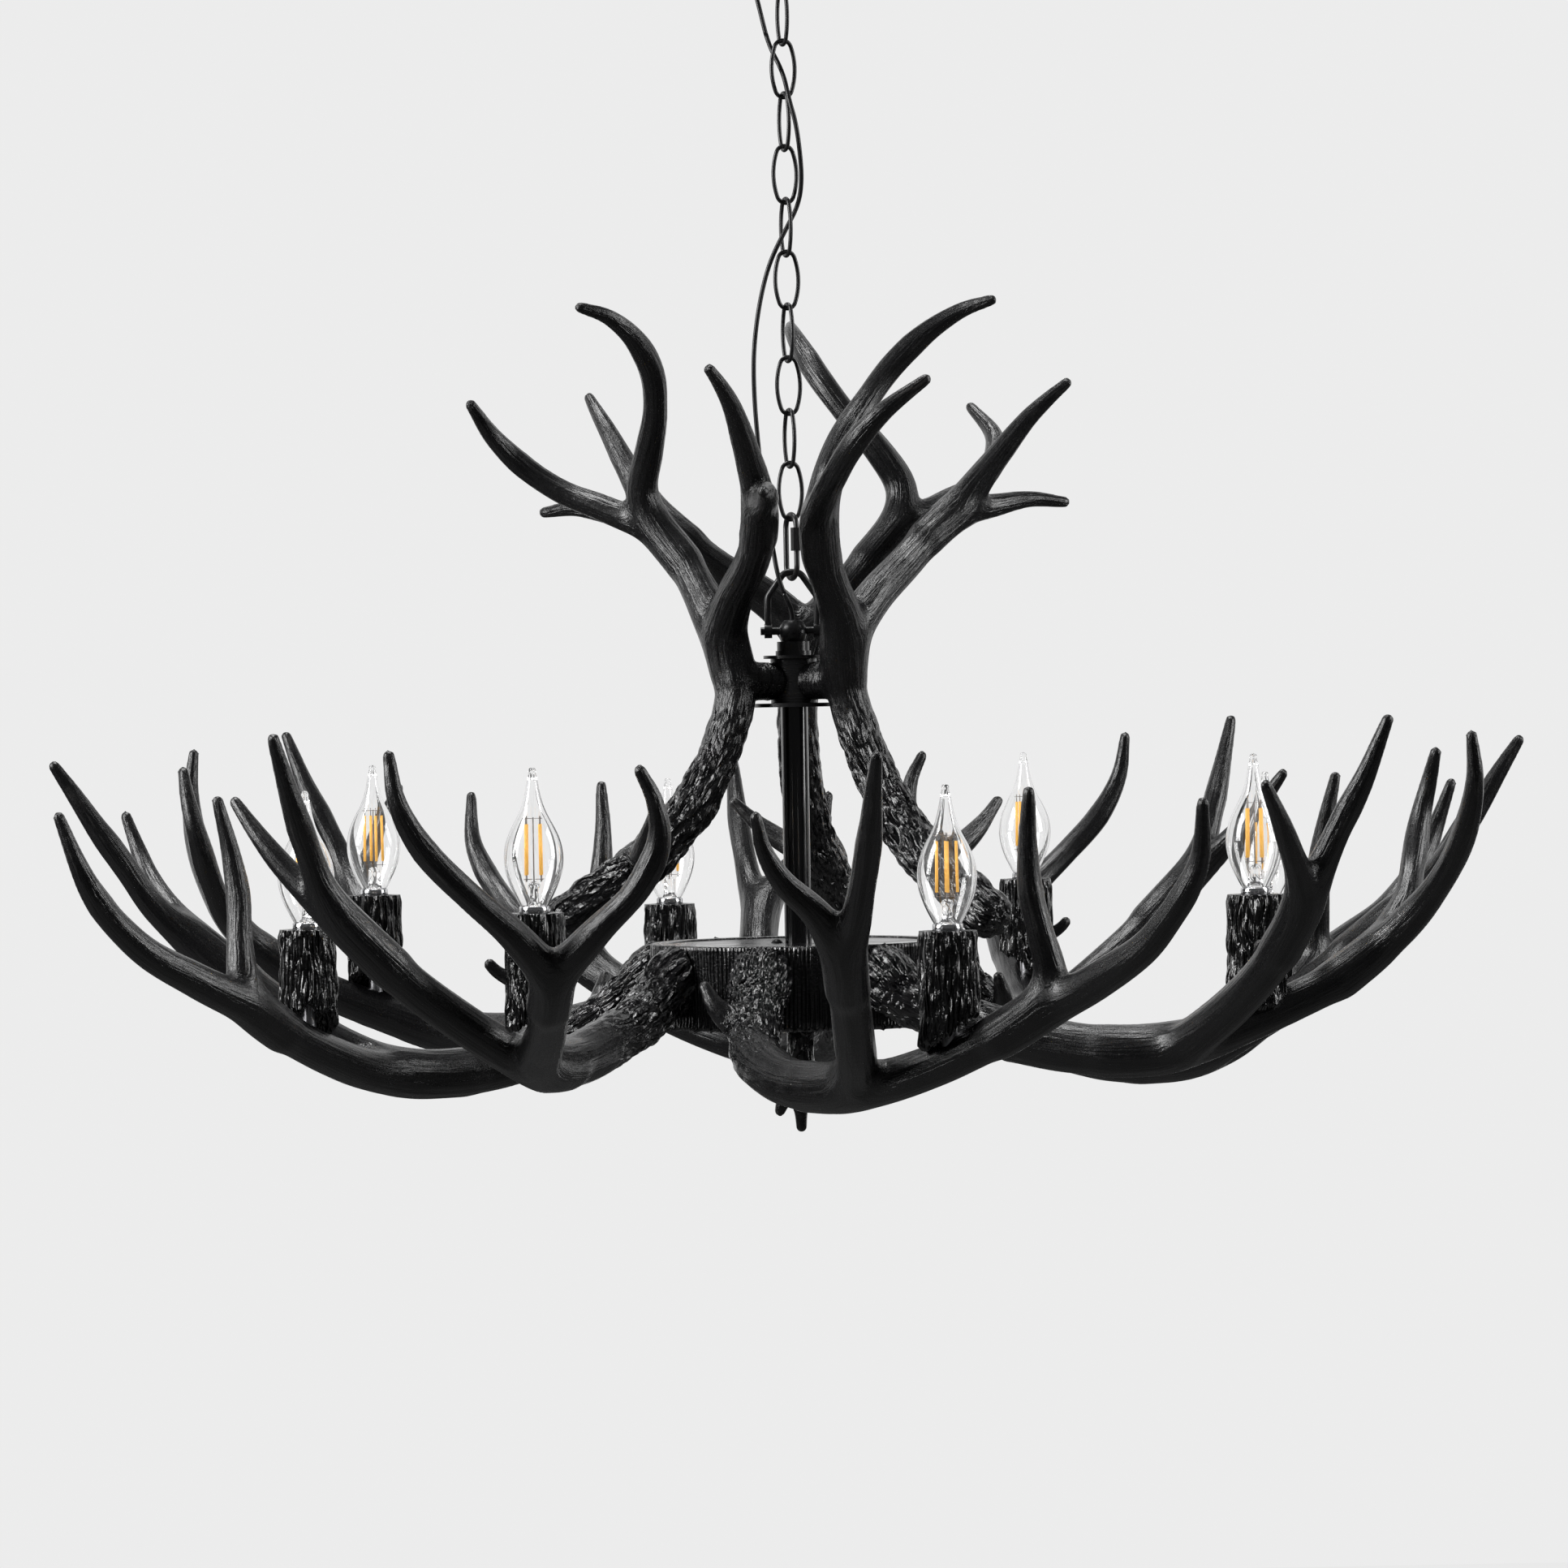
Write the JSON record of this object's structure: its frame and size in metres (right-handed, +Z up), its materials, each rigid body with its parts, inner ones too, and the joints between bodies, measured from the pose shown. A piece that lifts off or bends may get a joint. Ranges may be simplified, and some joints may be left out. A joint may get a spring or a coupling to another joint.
{
  "type": "antler chandelier",
  "caption": "Ceiling chandelier of interlaced antlers with candle lamps, a bark-sided pan and a chain that swings from a canopy.",
  "frame": {"origin": "centre of the canopy's rim, in the plane of the ceiling", "axes": "+Z up out of the ceiling face, -Y towards the front of the picture, +X to its right"},
  "size_m": [0.9556, 0.9556, 0.8194],
  "materials": {
    "black_metal": "satin",
    "zinc_steel": "satin",
    "antler": "cast resin, rough",
    "bark": "cast resin, glossy bark",
    "lamp_glass": "clear",
    "black_plastic": "matte",
    "connector_plastic": "gloss",
    "cable": "satin"
  },
  "bodies": {
    "canopy": {"canopy": "black_metal", "crossbar": "zinc_steel", "canopy_loop": "black_metal", "loop_lock_nut": "zinc_steel", "cable_bushing": "black_plastic"},
    "ring_nut": {"canopy_ring_nut": "black_metal"},
    "top_link": {"top_chain_link": "black_metal"},
    "chain": {"chain": "black_metal", "supply_cable": "cable"},
    "quick_link": {"quick_link": "black_metal"},
    "sleeve": {"quick_link_sleeve": "black_metal"},
    "bow": {"bow": "black_metal"},
    "fixture": {"knob": "black_metal", "hub_top_plate": "black_metal", "hub_bottom_plate": "black_metal", "hub_collar": "black_metal", "hub_studs": "zinc_steel", "stem": "black_metal", "center_rod": "zinc_steel", "rod_nuts": "zinc_steel", "pan_shell": "bark", "pan_lid": "black_metal", "lid_screw": "black_metal", "pan_floor": "black_metal", "finial": "antler", "bolt_washers": "zinc_steel", "antler_bolts": "zinc_steel", "wire_connectors": "connector_plastic", "stem_lead": "cable", "lamp_sockets": "black_plastic", "cup_nipples": "zinc_steel", "lower_antler_1": "antler", "candle_cup_1": "bark", "lower_antler_2": "antler", "candle_cup_2": "bark", "lower_antler_3": "antler", "candle_cup_3": "bark", "lower_antler_4": "antler", "candle_cup_4": "bark", "lower_antler_5": "antler", "candle_cup_5": "bark", "lower_antler_6": "antler", "candle_cup_6": "bark", "lower_antler_7": "antler", "candle_cup_7": "bark", "lower_antler_8": "antler", "candle_cup_8": "bark", "upper_antler_1": "antler", "upper_antler_2": "antler", "upper_antler_3": "antler"},
    "lamp_1": {"lamp_1": "lamp_glass"},
    "lamp_2": {"lamp_2": "lamp_glass"},
    "lamp_3": {"lamp_3": "lamp_glass"},
    "lamp_4": {"lamp_4": "lamp_glass"},
    "lamp_5": {"lamp_5": "lamp_glass"},
    "lamp_6": {"lamp_6": "lamp_glass"},
    "lamp_7": {"lamp_7": "lamp_glass"},
    "lamp_8": {"lamp_8": "lamp_glass"}
  },
  "joints": [
    {"name": "ring_nut_turn", "type": "hinge", "parent": "canopy", "child": "ring_nut", "pos_m": [0, 0, -0.029], "axis": [0, 0, 1], "range_deg": [0, 1080]},
    {"name": "top_link_swing", "type": "hinge", "parent": "canopy", "child": "top_link", "pos_m": [0, 0, -0.048], "axis": [-0.3907, 0.9205, 0], "range_deg": [-10, 10], "deforming": ["supply_cable"]},
    {"name": "chain_swing", "type": "hinge", "parent": "top_link", "child": "chain", "pos_m": [0, 0, -0.08165], "axis": [0.9205, 0.3907, 0], "range_deg": [-10, 10], "deforming": ["supply_cable"]},
    {"name": "quick_link_swing", "type": "hinge", "parent": "chain", "child": "quick_link", "pos_m": [0, 0, -0.42465], "axis": [0.9205, 0.3907, 0], "range_deg": [-15, 15], "deforming": ["supply_cable"]},
    {"name": "sleeve_screw", "type": "slide", "parent": "quick_link", "child": "sleeve", "axis": [0, 0, -1], "range_m": [0, 0.009]},
    {"name": "bow_swing", "type": "hinge", "parent": "quick_link", "child": "bow", "pos_m": [0, 0, -0.4628], "axis": [-0.3907, 0.9205, 0], "range_deg": [-15, 15], "deforming": ["supply_cable"]},
    {"name": "fixture_swing", "type": "hinge", "parent": "bow", "child": "fixture", "pos_m": [0, 0, -0.4969], "axis": [1, 0, 0], "range_deg": [-12, 12], "deforming": ["supply_cable"]},
    {"name": "lamp_1_unscrew", "type": "hinge", "parent": "fixture", "child": "lamp_1", "pos_m": [0.08964, -0.31186, -0.6824], "axis": [0, 0, 1], "range_deg": [0, 1080]},
    {"name": "lamp_2_unscrew", "type": "hinge", "parent": "fixture", "child": "lamp_2", "pos_m": [-0.15883, -0.28579, -0.6684], "axis": [0, 0, 1], "range_deg": [0, 1080]},
    {"name": "lamp_3_unscrew", "type": "hinge", "parent": "fixture", "child": "lamp_3", "pos_m": [0.31186, 0.08964, -0.6824], "axis": [0, 0, 1], "range_deg": [0, 1080]},
    {"name": "lamp_4_unscrew", "type": "hinge", "parent": "fixture", "child": "lamp_4", "pos_m": [0.28579, -0.15883, -0.6684], "axis": [0, 0, 1], "range_deg": [0, 1080]},
    {"name": "lamp_5_unscrew", "type": "hinge", "parent": "fixture", "child": "lamp_5", "pos_m": [-0.08964, 0.31186, -0.6824], "axis": [0, 0, 1], "range_deg": [0, 1080]},
    {"name": "lamp_6_unscrew", "type": "hinge", "parent": "fixture", "child": "lamp_6", "pos_m": [0.15883, 0.28579, -0.6684], "axis": [0, 0, 1], "range_deg": [0, 1080]},
    {"name": "lamp_7_unscrew", "type": "hinge", "parent": "fixture", "child": "lamp_7", "pos_m": [-0.31186, -0.08964, -0.6824], "axis": [0, 0, 1], "range_deg": [0, 1080]},
    {"name": "lamp_8_unscrew", "type": "hinge", "parent": "fixture", "child": "lamp_8", "pos_m": [-0.28579, 0.15883, -0.6684], "axis": [0, 0, 1], "range_deg": [0, 1080]}
  ]
}
